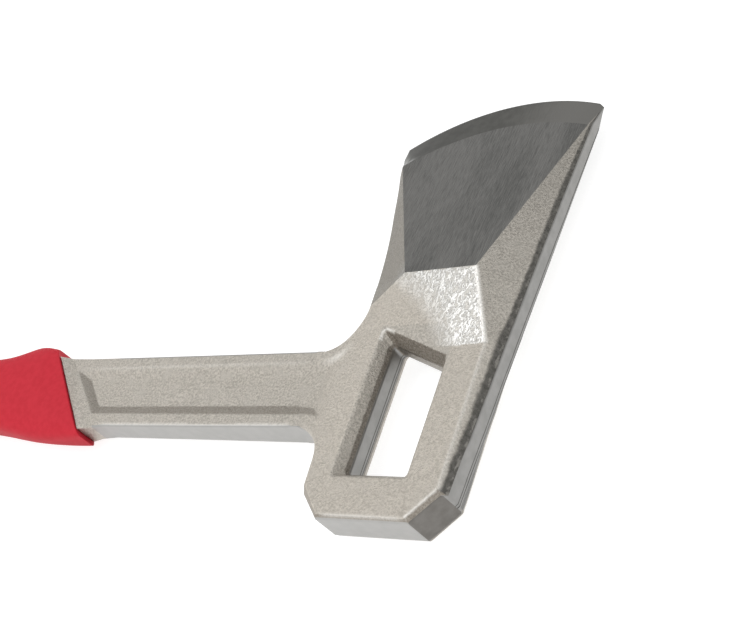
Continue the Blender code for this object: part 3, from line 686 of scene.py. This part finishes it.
def face_finishes(middle, wall):
    """Finishes and painted shade that end on a clean line: name to a weight for each face."""
    x, y = middle[:, 0], middle[:, 1]
    window = in_window(x, y)
    bevel = in_polygon(x, y, BEVEL_LOOP)
    heel_nose = ~bevel & (y > HEEL_END[1]) & (x < HEEL_END[0])
    edge = in_polygon(x, y, EDGE_LOOP) | heel_nose | (wall & (y > EDGE_FROM_Y) & (x < TOE_WALL_X))
    chamfer = wall & (y > CHAMFER_Y[0]) & (y < CHAMFER_Y[1]) & ~window
    band = wall & ~edge & ~chamfer & ((x > BAND_X) | (window & (x < WINDOW_BAND_X)))
    toe_facet = in_polygon(x, y, TOE_FACET)
    # painted shade on the facets beside the bevel
    facet_shade = np.where(toe_facet, TOE_SHADE + TOE_SHADE_RISE * smooth_step(y, *TOE_SHADE_Y), 0.0)
    facet_shade = np.where(in_polygon(x, y, HEEL_FACET) & ~heel_nose, HEEL_SHADE, facet_shade)
    # soot left on the slopes of the poll, and painted shade on the window's upper wall
    poll = (y < POLL_LEFT[1]) & (x > POLL_LEFT[0])
    beyond_right = side_of(x, y, POLL_RIGHT, CHAMFER_RIGHT) < 0
    beyond_left = side_of(x, y, CHAMFER_LEFT, POLL_LEFT) < 0
    poll |= beyond_right & (y < CHAMFER_RIGHT[1]) & (x > POLL_RIGHT[0])
    poll |= beyond_left & (y < CHAMFER_LEFT[1]) & (x < POLL_LEFT[0])
    below = (WINDOW_TOP - y - WINDOW_SLANT * x) / math.hypot(1.0, WINDOW_SLANT)
    top = window & (below > 0) & (below < WINDOW_DRAFT + WINDOW_SHADE_MARGINS[0])
    top &= (below < x - WINDOW_X[0] - WINDOW_SHADE_MARGINS[1]) & (below < WINDOW_X[1] - WINDOW_SHADE_MARGINS[2] - x)
    soot_and_shade = np.where(poll & ~wall, POLL_SOOT, 0.0) + top
    return {"ground": bevel & ~wall, "edge_bevel": edge, "trim": wall & (x > FLARE_X), "band": band,
            "chamfer": chamfer, "facet_shade": facet_shade, "soot_and_shade": soot_and_shade, "rim": window & ~wall,
            "back": in_polygon(x, y, BACK_LOOP) & ~wall}


def point_finishes(p):
    """Finishes, painted sheen, painted shade and painted highlights that fade into each other: name to
    a weight for each vertex.
    """
    x, y = p[:, 0], p[:, 1]
    slope_x, slope_y = sample(SLOPE_X, x, y), sample(SLOPE_Y, x, y)
    window = in_window(x, y)
    # painted sheen on the slope behind the bevel
    shine = in_polygon(x, y, SHINE_LOOP) | (line_distance(x, y, SHINE_BORDER) < 0.1)
    crease_gap = line_distance(x, y, SHOULDER_CREASE)
    shine = shine * (SHEEN_SHARE + (1 - SHEEN_SHARE) * smooth_step(crease_gap, 0.0, SHEEN_RISE))
    beside = (x < SHOULDER_CREASE[-1][0]) & (y > SHOULDER_CREASE[-1][1])
    shine = np.maximum(shine, SHEEN_SHARE * beside * smooth_step(crease_gap, SHEEN_FADE, 0.0))
    # distance from the trimmed outline, as a share of the width of its dark strip
    inset = np.where(window, closed_distance(x, y, LOOPS[1]), closed_distance(x, y, LOOPS[0]))
    strip = inset / np.where(window, WINDOW_STRIP, np.interp(y, *STRIP_WIDTH))
    # scale and painted shade on the recess's walls that face +y and +x
    neck = (x < NECK_X) & (y > NECK_Y[0]) & (y < NECK_Y[1])
    scale = NECK_SCALE_AND_SHADE * neck * smooth_step(-0.45 * slope_x - slope_y, 0.08, 0.32)
    # painted highlight lines along edges, kept in the wear weight
    wear = np.zeros(len(x))
    for line, half_width, strength, fade in HIGHLIGHT_LINES:
        gap, near_x, near_y = nearest_on(x, y, line)
        from_end = np.minimum(np.hypot(near_x - line[0][0], near_y - line[0][1]),
                              np.hypot(near_x - line[-1][0], near_y - line[-1][1]))
        weight = strength * np.clip(from_end / fade, 0.0, 1.0)
        wear = np.maximum(wear, weight * np.clip(1.0 - gap / half_width, 0.0, 1.0))
    return {"shine": shine, "strip": np.minimum(strip, WIDEST_STRIP), "scale": scale, "wear": wear,
            "head": smooth_step(x, HEAD_FROM, HEAD_FULL), "flecks": smooth_step(y, *FLECKS_Y)}


def mesh_object(name, vertices, faces, mat):
    """New smooth object from points in design coordinates."""
    mesh = bpy.data.meshes.new(name)
    mesh.from_pydata(to_world(vertices).tolist(), [], faces)
    mesh.validate()
    mesh.shade_smooth()
    mesh.materials.append(mat)
    made = bpy.data.objects.new(name, mesh)
    bpy.context.collection.objects.link(made)
    return made


def add_finishes(mesh, weights, domain):
    """Stores each finish's weights on the mesh, for Nodes.zone to read."""
    for name, values in weights.items():
        layer = mesh.attributes.new(name, "FLOAT", domain)
        layer.data.foreach_set("value", np.asarray(values, np.float32))


# ---------------------------------------------------------------- materials
# pairs of colours that each pattern runs between
CAST = (0.415, 0.389, 0.347), (0.602, 0.566, 0.511)
# painted sheen of the slope behind the bevel: from its base to the white of the painted glints
PAINTED_SHEEN = (0.49, 0.475, 0.445), (0.745, 0.738, 0.715)
FLASH_STRIP = (0.105, 0.101, 0.092), (0.155, 0.149, 0.136)
CRUST_AND_SHADE = (0.125, 0.108, 0.088), (0.235, 0.21, 0.178)
TRIMMED = (0.352, 0.347, 0.334), (0.378, 0.371, 0.358)
# band and chamfer: the trimmed finish darkened as painted shade
BAND_SHADED = (0.265, 0.262, 0.252), (0.305, 0.30, 0.29)
CHAMFER_SHADED = (0.150, 0.142, 0.130), (0.185, 0.176, 0.164)
# soot on the poll's slopes and painted shade on the window's upper wall
SOOT_AND_SHADE = (0.20, 0.175, 0.145), (0.37, 0.335, 0.29)
GROUND = (0.105, 0.105, 0.100), (0.215, 0.212, 0.203)
EDGE = (0.112, 0.111, 0.103), (0.140, 0.139, 0.129)
RED_MOULDED = (0.475, 0.016, 0.030), (0.515, 0.020, 0.036)
BLACK_MOULDED = (0.022, 0.022, 0.024), (0.034, 0.034, 0.036)
PLATING = (0.50, 0.50, 0.51), (0.64, 0.64, 0.65)
# single colours
CAST_PATCH = (0.523, 0.494, 0.448)
CAST_HEAD = (0.77, 0.70, 0.61)
# colour of the painted shade on the facets beside the bevel
FACET_SHADE_COLOR = (0.10, 0.098, 0.088)
FLECK = (0.25, 0.24, 0.22)
LOWER_STRIP = (0.22, 0.217, 0.208)
SEAM = (0.055, 0.052, 0.046)
# colour of the painted highlight lines
HIGHLIGHT_WHITE = (0.92, 0.90, 0.86)
EDGE_POLISHED = (0.205, 0.201, 0.189)
RED_SHADED = (0.30, 0.008, 0.016)
SEAM_HEIGHTS = ((-1.7, 0.24), (-3.1, 0.34))     # height and half width of the band's two seams
GRIND_TURN = 0.10            # angle of the grinding marks


def steel_material():
    n = Nodes("forged_steel_detail")
    ground, edge, chamfer = n.zone("ground"), n.zone("edge_bevel"), n.zone("chamfer")
    trim, band, soot_and_shade = n.zone("trim"), n.zone("band"), n.zone("soot_and_shade")
    shine, scale = n.zone("shine"), n.zone("scale")
    # cast skin: orange peel with a faint brown in its dips
    peel = n.noise(1.05, 4.0, 0.68)
    patches = n.noise(0.13, 2.0, 0.5)
    color = n.blend(n.ramp(peel, 0.38, 0.62), *CAST)
    color = n.blend(n.ramp(patches, 0.45, 0.85), color, CAST_PATCH)
    slopes = n.math("MAXIMUM", n.zone("back"), n.zone("rim"))
    lighter = n.math("MULTIPLY", n.zone("head"), n.ramp(slopes, 0.0, 1.0, 0.22, 0.0))
    color = n.blend(lighter, color, CAST_HEAD)
    # painted sheen, with painted glints along its veins, on the smoother slope behind the bevel
    veins = n.line(n.noise(1.0, 2.0, 0.5, n.scaled(n.position, (0.74, 0.29, 0.74)), 0.7), 0.5, 0.085)
    color = n.blend(shine, color, n.blend(veins, *PAINTED_SHEEN))
    # painted shade on the facets beside the bevel
    color = n.blend(n.zone("facet_shade"), color, FACET_SHADE_COLOR)
    # dark strip beside the trimmed outline, with a chain of flecks
    ratio = n.math("MULTIPLY_ADD", n.noise(0.45, 2.0, 0.5), 0.36,
                   n.math("SUBTRACT", n.zone("strip"), 0.18))
    flash = n.math("MULTIPLY", n.zone("back"), n.ramp(ratio, 1.20, 0.72))
    strip = n.blend(n.ramp(n.noise(0.5, 2.0, 0.5), 0.35, 0.65), *FLASH_STRIP)
    fleck = n.ramp(n.noise(1.0, 3.0, 0.6, n.scaled(n.position, (0.30, 0.26, 0.30))), 0.47, 0.58)
    fleck = n.math("MULTIPLY", n.math("MULTIPLY", fleck, n.zone("flecks")), n.line(ratio, 0.33, 0.15))
    strip = n.blend(fleck, strip, FLECK)
    strip = n.blend(n.ramp(n.height, -0.5, 0.5), LOWER_STRIP, strip)
    color = n.blend(flash, color, strip)
    # scale and painted shade on the recess's walls that face +y, and the dark strip round the window
    crust = n.ramp(n.noise(1.3, 3.0, 0.6), 0.3, 0.7)
    crust_and_shade_color = n.blend(crust, *CRUST_AND_SHADE)
    rim = n.math("MULTIPLY", n.math("MULTIPLY", n.zone("rim"), n.ramp(ratio, 1.15, 0.85)), 0.85)
    color = n.blend(n.math("MAXIMUM", scale, rim), color, crust_and_shade_color)
    # painted highlight lines along edges
    painted_highlight = n.math("MULTIPLY", n.zone("wear"), n.ramp(n.noise(0.7, 2.0, 0.5), 0.2, 0.5, 0.5, 1.0))
    # trimmed and ground faces; band and chamfer are the trimmed finish with painted shade
    smudge = n.ramp(n.noise(0.22, 3.0, 0.55), 0.3, 0.7)
    color = n.blend(trim, color, n.blend(smudge, *TRIMMED))
    seam_noise = n.noise(1.0, 2.0, 0.5, n.scaled(n.position, (0.3, 0.10, 0.3)))
    depth = n.math("MULTIPLY_ADD", seam_noise, 0.5, n.height)
    seam = n.math("MAXIMUM", *[n.line(depth, *place) for place in SEAM_HEIGHTS])
    shaded_band_color = n.blend(smudge, *BAND_SHADED)
    color = n.blend(band, color, n.blend(n.math("MULTIPLY", seam, 0.85), shaded_band_color, SEAM))
    color = n.blend(chamfer, color, n.blend(smudge, *CHAMFER_SHADED))
    # soot on the poll's slopes, painted shade on the window's upper wall
    bare = n.math("SUBTRACT", 1.0, n.line(n.height, -3.2, 1.2))
    soot_and_shade_color = n.blend(crust, *SOOT_AND_SHADE)
    color = n.blend(n.math("MULTIPLY", soot_and_shade, bare), color, soot_and_shade_color)
    # painted highlight lines
    color = n.blend(painted_highlight, color, HIGHLIGHT_WHITE)
    # grinding marks across the blade
    streaks = n.noise(1.0, 4.0, 0.7, n.scaled(n.position, (3.2, 0.14, 1.0), GRIND_TURN))
    sweep = n.noise(1.0, 1.0, 0.4, n.scaled(n.position, (0.060, 0.012, 0.05), GRIND_TURN))
    streak = n.math("MULTIPLY_ADD", n.ramp(sweep, 0.3, 0.7), 0.13, n.math("MULTIPLY", streaks, 0.95))
    ground_color = n.blend(n.ramp(streak, 0.32, 0.74), *GROUND)
    color = n.blend(ground, color, ground_color)
    polish = n.ramp(n.math("MULTIPLY_ADD", streaks, 30.0, n.toeward), -26.0, 14.0)
    edge_color = n.blend(smudge, *EDGE)
    color = n.blend(edge, color, n.blend(polish, edge_color, EDGE_POLISHED))
    rough = n.mix(trim, 0.50, 0.36)
    rough = n.mix(ground, rough, 0.40)
    rough = n.mix(edge, rough, 0.30)
    rough = n.mix(shine, rough, 0.36)
    rough = n.mix(flash, rough, 0.50)
    polished = n.math("MAXIMUM", n.math("MAXIMUM", ground, edge), trim)
    cast = n.math("SUBTRACT", 1.0, polished)
    normal = n.bump(peel, n.math("MULTIPLY", cast, n.mix(shine, 1.0, 0.3)), 0.00085)
    normal = n.bump(veins, n.math("MULTIPLY", shine, 0.9), 0.00028, normal)
    normal = n.bump(crust, n.math("MULTIPLY", n.math("MAXIMUM", scale, soot_and_shade), 0.6), 0.00025, normal)
    normal = n.bump(fleck, n.math("MULTIPLY", flash, 0.6), 0.00025, normal)
    normal = n.bump(seam, n.math("MULTIPLY", band, 0.6), -0.0003, normal)
    scratch = n.noise(1.0, 3.0, 0.6, n.scaled(n.position, (9.0, 0.5, 2.0), GRIND_TURN))
    normal = n.bump(scratch, n.math("MULTIPLY", ground, 0.6), 0.00006, normal)
    return n.finish(Base_Color=color, Metallic=1.0, Roughness=rough, Normal=normal)


def red_material():
    n = Nodes("red_sleeve_detail")
    speckle = n.ramp(n.noise(0.35, 3.0, 0.5), 0.3, 0.7)
    color = n.blend(speckle, *RED_MOULDED)
    color = n.blend(n.ramp(n.height, 7.0, -6.0, 0.0, 0.5), color, RED_SHADED)
    normal = n.bump(n.noise(2.4, 2.0, 0.5), 0.25, 0.00010)
    return n.finish(Base_Color=color, Roughness=0.58, Specular_IOR_Level=0.15, Normal=normal)


def black_material():
    n = Nodes("black_plastic_detail")
    grain = n.noise(6.0, 2.0, 0.5)
    color = n.blend(n.ramp(n.noise(1.2), 0.3, 0.7), *BLACK_MOULDED)
    return n.finish(Base_Color=color, Roughness=0.5, Normal=n.bump(grain, 0.3, 0.0001))


def plated_material():
    n = Nodes("plated_steel_detail")
    wear = n.ramp(n.noise(1.1, 3.0, 0.6), 0.35, 0.7)
    color = n.blend(wear, *PLATING)
    return n.finish(Base_Color=color, Metallic=1.0, Roughness=n.mix(wear, 0.28, 0.38),
                    Normal=n.bump(n.noise(7.0), 0.15, 0.00005))


STEEL = steel_material()
RED = red_material()
BLACK = black_material()
PLATED = plated_material()

forging = mesh_object("forging_detail", vertices, faces, STEEL)
face_middles = np.array([vertices[list(face)].mean(axis=0) for face in faces])
add_finishes(forging.data, face_finishes(face_middles, np.arange(len(faces)) >= first_wall), "FACE")
add_finishes(forging.data, point_finishes(vertices), "POINT")
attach(forging, "root")
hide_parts("axe_forging")

# ---------------------------------------------------------------- grip
# x, slant, centre y, half height, half thickness, superellipse power
STATIONS = np.array([
    (-236.0, 1.00, 58.8, 23.4, 7.4, 6.5),
    (-241.0, 0.95, 59.1, 24.1, 7.9, 5.0),
    (-248.0, 0.85, 59.4, 24.8, 8.7, 3.6),
    (-256.0, 0.72, 59.5, 25.0, 9.3, 2.8),
    (-264.0, 0.55, 59.4, 24.2, 9.7, 2.6),
    (-272.0, 0.38, 59.2, 22.4, 10.1, 2.8),
    (-280.0, 0.24, 59.0, 20.6, 10.4, 3.0),
    (-288.0, 0.12, 58.9, 19.4, 10.7, 3.0),
    (-304.0, 0.00, 58.9, 17.9, 11.3, 3.0),
    (-330.0, 0.00, 58.9, 17.6, 11.8, 3.0),
    (-356.0, 0.00, 58.7, 18.6, 12.1, 3.0),
    (-374.0, 0.00, 58.0, 20.6, 12.3, 3.0),
    (-388.0, 0.00, 57.2, 22.6, 12.4, 3.0),
    (-400.0, 0.00, 56.8, 23.4, 12.4, 3.0),
])
RING = 120
SKIN_RINGS, CORE_RINGS = 110, 30
FRONT_X = STATIONS[0, 0]
REAR_X = STATIONS[-1, 0]
EDGE_ROUND = 0.5
WALL = 2.5
CORE_START = -243.0
OPENING = (1.0, 58.9, 13.6, 4.1, 9.0)       # round the tang: slant and what follows it, as above
HOLE_AT = (-372.0, 57.9)     # lanyard hole
HOLE_PROFILE = ((-15.0, 9.0), (-11.8, 5.9), (11.8, 5.9), (15.0, 9.0))       # z, radius
HOLE_SIDES = 72


def station(x):
    """Slant, centre, half sizes and power at x, on a smooth curve through the stations."""
    places = -STATIONS[:, 0]
    k = int(np.clip(np.searchsorted(places, -x) - 1, 0, len(places) - 2))
    t = np.clip((-x - places[k]) / (places[k + 1] - places[k]), 0.0, 1.0)
    before, after = max(k - 1, 0), min(k + 2, len(places) - 1)
    rise_a = (STATIONS[k + 1, 1:] - STATIONS[before, 1:]) / (places[k + 1] - places[before])
    rise_b = (STATIONS[after, 1:] - STATIONS[k, 1:]) / (places[after] - places[k])
    span = places[k + 1] - places[k]
    return (STATIONS[k, 1:] * (1 + 2 * t) * (1 - t) ** 2 + STATIONS[k + 1, 1:] * t * t * (3 - 2 * t)
            + span * (rise_a * t * (1 - t) ** 2 - rise_b * t * t * (1 - t)))


def section(x, shrink=0.0, sizes=None):
    """Ring of the sleeve at x, made smaller all round by shrink."""
    slant, mid_y, half_height, half_thickness, power = station(x) if sizes is None else sizes
    angle = np.linspace(0, 2 * np.pi, RING, endpoint=False)
    c, s = np.cos(angle), np.sin(angle)
    y = (half_height - shrink) * np.sign(c) * np.abs(c) ** (2 / power)
    z = (half_thickness - shrink) * np.sign(s) * np.abs(s) ** (2 / power)
    return np.column_stack([x + slant * COLLAR_SLOPE * y, mid_y + y, z])


def loft(rings, close=True):
    """Skin over rings: capped at both ends, or joined from the last ring back to the first."""
    count = len(rings[0])
    faces = []
    for i in range(len(rings) - 1):
        a, b = i * count, (i + 1) * count
        faces += [[a + k, a + (k + 1) % count, b + (k + 1) % count, b + k] for k in range(count)]
    last = (len(rings) - 1) * count
    if close:
        faces.append(list(range(count - 1, -1, -1)))
        faces.append([last + k for k in range(count)])
    else:
        faces += [[last + k, last + (k + 1) % count, (k + 1) % count, k] for k in range(count)]
    return np.vstack(rings), faces


def build_sleeve():
    """Sleeve, open at the rear, with a slot for the tang in its front face."""
    front_x = FRONT_X - COLLAR_SLOPE * (STATIONS[0, 2] - OPENING[1])
    rings = [section(front_x + EDGE_ROUND, sizes=OPENING)]
    for degrees in (0, 25, 50, 70, 90):
        a = math.radians(degrees)
        ring = section(FRONT_X, EDGE_ROUND * (1 - math.sin(a)))
        rings.append(ring + (EDGE_ROUND * math.cos(a), 0, 0))
    rings += [section(x) for x in np.linspace(FRONT_X - EDGE_ROUND, REAR_X + 1, SKIN_RINGS)]
    rings += [section(REAR_X + 0.4), section(REAR_X, 0.3), section(REAR_X, WALL)]
    rings += [section(x, WALL) for x in np.linspace(REAR_X + 4, CORE_START, CORE_RINGS)]
    rings.append(section(CORE_START, sizes=(station(CORE_START)[0], *OPENING[1:])))
    return loft(rings, close=False)


def cut_hole(target):
    """Cuts the lanyard hole, flared at both ends, through the sleeve."""
    angle = np.linspace(0, 2 * np.pi, HOLE_SIDES, endpoint=False)
    circle = np.column_stack([np.cos(angle), np.sin(angle), 0 * angle])
    rings = [circle * radius + (*HOLE_AT, z) for z, radius in HOLE_PROFILE]
    cutter = mesh_object("hole_cutter", *loft(rings), None)
    cut = target.modifiers.new("hole", "BOOLEAN")
    cut.operation = "DIFFERENCE"
    cut.object = cutter
    evaluated = target.evaluated_get(bpy.context.evaluated_depsgraph_get())
    mesh = bpy.data.meshes.new_from_object(evaluated)
    target.modifiers.remove(cut)
    target.data = mesh
    bpy.data.objects.remove(cutter)


sleeve_vertices, sleeve_faces = build_sleeve()
sleeve = mesh_object("sleeve_detail", sleeve_vertices, sleeve_faces, RED)
cut_hole(sleeve)
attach(sleeve, "root")
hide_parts("grip_sleeve")

# the other pieces keep their CAD shape
PLAIN_PIECES = (
    (BLACK, ("grip_scale_top", "grip_scale_bottom", "butt_cap")),
    (PLATED, ("tang_rivet_front", "tang_rivet_middle", "tang_rivet_rear", "lanyard_bush",
              "butt_washer", "butt_screw")),
)
for mat, names in PLAIN_PIECES:
    for name in names:
        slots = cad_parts[name].data.materials
        slots.clear()
        slots.append(mat)


# ---------------------------------------------------------------- floor and light
FLOOR_REACH = 6.0            # metres, like the light's sizes
FLOOR_GREY = (0.38, 0.38, 0.38)
WHITE = (1.0, 1.0, 1.0)
BRIGHT_SIDE = (-0.15, -0.45, 0.88)
WORLD_TURN = (-0.35, 0.95)   # how far towards the bright side its light starts and ends to rise
WORLD_LEVELS = (0.50, 1.15)


def floor():
    """Pale floor under the axe."""
    n = Nodes("pale_floor")
    mesh = bpy.data.meshes.new("floor")
    corners = [(a * FLOOR_REACH, b * FLOOR_REACH, 0) for a, b in ((-1, -1), (1, -1), (1, 1), (-1, 1))]
    mesh.from_pydata(corners, [], [(0, 1, 2, 3)])
    n.finish(Base_Color=FLOOR_GREY, Roughness=0.9, Emission_Color=WHITE, Emission_Strength=0.80)
    mesh.materials.append(n.material)
    made = bpy.data.objects.new("floor", mesh)
    bpy.context.collection.objects.link(made)


def soft_box(name, direction, distance, size, watts):
    """Soft box that faces the middle of the axe from a direction."""
    data = bpy.data.lights.new(name, "AREA")
    data.shape = "RECTANGLE"
    data.size, data.size_y = size
    data.energy = watts
    made = bpy.data.objects.new(name, data)
    bpy.context.collection.objects.link(made)
    target = Vector(to_world((-60.0, 90.0, 0.0)))
    along = Vector(direction).normalized()
    made.location = target + along * distance
    made.rotation_euler = along.to_track_quat("Z", "Y").to_euler()


def studio_world():
    """White surroundings, brighter on one side."""
    made = bpy.data.worlds.new("studio")
    made.use_nodes = True
    nodes, links = made.node_tree.nodes, made.node_tree.links
    nodes["Background"].inputs["Color"].default_value = (*WHITE, 1.0)
    coordinates = nodes.new("ShaderNodeTexCoord")
    dot = nodes.new("ShaderNodeVectorMath")
    dot.operation = "DOT_PRODUCT"
    dot.inputs[1].default_value = Vector(BRIGHT_SIDE).normalized()
    links.new(coordinates.outputs["Generated"], dot.inputs[0])
    level = nodes.new("ShaderNodeMapRange")
    level.interpolation_type = "SMOOTHSTEP"
    for key, number in zip(("From Min", "From Max", "To Min", "To Max"), WORLD_TURN + WORLD_LEVELS):
        level.inputs[key].default_value = number
    links.new(dot.outputs["Value"], level.inputs["Value"])
    links.new(level.outputs[0], nodes["Background"].inputs["Strength"])
    bpy.context.scene.world = made


floor()
studio_world()
soft_box("key", direction=(-0.30, 0.12, 0.94), distance=1.6, size=(0.7, 0.7), watts=5.0)
bpy.context.scene.view_settings.view_transform = "Standard"
